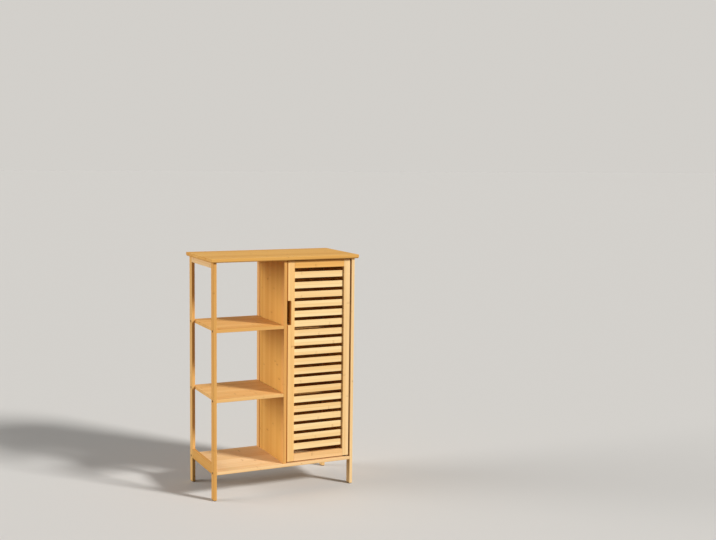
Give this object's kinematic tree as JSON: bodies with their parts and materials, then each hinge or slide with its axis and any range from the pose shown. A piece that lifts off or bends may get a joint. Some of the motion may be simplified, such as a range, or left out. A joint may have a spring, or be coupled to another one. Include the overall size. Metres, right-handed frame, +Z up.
{
  "type": "bathroom cabinet",
  "caption": "Low bamboo bathroom cabinet on four post legs, with open shelves on one side and a slatted door with a finger notch on the other.",
  "frame": {"origin": "on the floor, under the middle of the top board", "axes": "+Z up, -Y to the front of the cabinet, -X to the side with the open shelves"},
  "size_m": [0.58, 0.3, 0.885],
  "materials": {
    "bamboo_board": "laminated bamboo, satin lacquer",
    "bamboo_frame": "laminated bamboo, satin lacquer",
    "bamboo_panel": "laminated bamboo sheet, satin lacquer",
    "bamboo_door": "laminated bamboo, satin lacquer",
    "beech_dowel": "bare beech",
    "black_bolt": "black oxide on steel",
    "zinc_steel": "bright zinc plate",
    "ferrite": "sintered ferrite",
    "nylon": "moulded brown nylon"
  },
  "bodies": {
    "cabinet": {"back_panel": "bamboo_panel", "barrel_nuts": "zinc_steel", "bottom_board": "bamboo_board", "catch_housing": "nylon", "catch_magnet": "ferrite", "catch_pole_plates": "zinc_steel", "catch_screws": "zinc_steel", "divider_panel": "bamboo_panel", "foot_glides": "nylon", "frame_bolts": "black_bolt", "frame_dowels": "beech_dowel", "front_divider_post": "bamboo_frame", "front_left_post": "bamboo_frame", "front_right_post": "bamboo_frame", "left_bottom_rail": "bamboo_frame", "left_top_rail": "bamboo_frame", "lower_inner_shelf": "bamboo_board", "lower_open_shelf": "bamboo_board", "lower_pivot_bush": "nylon", "rear_divider_post": "bamboo_frame", "rear_left_post": "bamboo_frame", "rear_right_post": "bamboo_frame", "rear_top_rail": "bamboo_frame", "right_bottom_rail": "bamboo_frame", "right_side_panel": "bamboo_panel", "right_top_rail": "bamboo_frame", "shelf_pins": "zinc_steel", "top_board": "bamboo_board", "top_screws": "zinc_steel", "upper_inner_shelf": "bamboo_board", "upper_open_shelf": "bamboo_board", "upper_pivot_bush": "nylon"},
    "door": {"door_handle_stile": "bamboo_door", "door_pivot_stile": "bamboo_door", "door_top_rail": "bamboo_door", "door_bottom_rail": "bamboo_door", "door_slat_01": "bamboo_door", "door_slat_02": "bamboo_door", "door_slat_03": "bamboo_door", "door_slat_04": "bamboo_door", "door_slat_05": "bamboo_door", "door_slat_06": "bamboo_door", "door_slat_07": "bamboo_door", "door_slat_08": "bamboo_door", "door_slat_09": "bamboo_door", "door_slat_10": "bamboo_door", "door_slat_11": "bamboo_door", "door_slat_12": "bamboo_door", "door_slat_13": "bamboo_door", "door_slat_14": "bamboo_door", "door_slat_15": "bamboo_door", "door_slat_16": "bamboo_door", "door_slat_17": "bamboo_door", "door_slat_18": "bamboo_door", "door_slat_19": "bamboo_door", "door_dowels": "beech_dowel", "upper_pivot_pin": "zinc_steel", "lower_pivot_pin": "zinc_steel", "strike_plate": "zinc_steel", "strike_screw": "zinc_steel"}
  },
  "joints": [
    {"name": "door_hinge", "type": "hinge", "parent": "cabinet", "child": "door", "pos_m": [0.2495, -0.1245, 0.489], "axis": [0, 0, 1], "range_deg": [0, 110]}
  ]
}
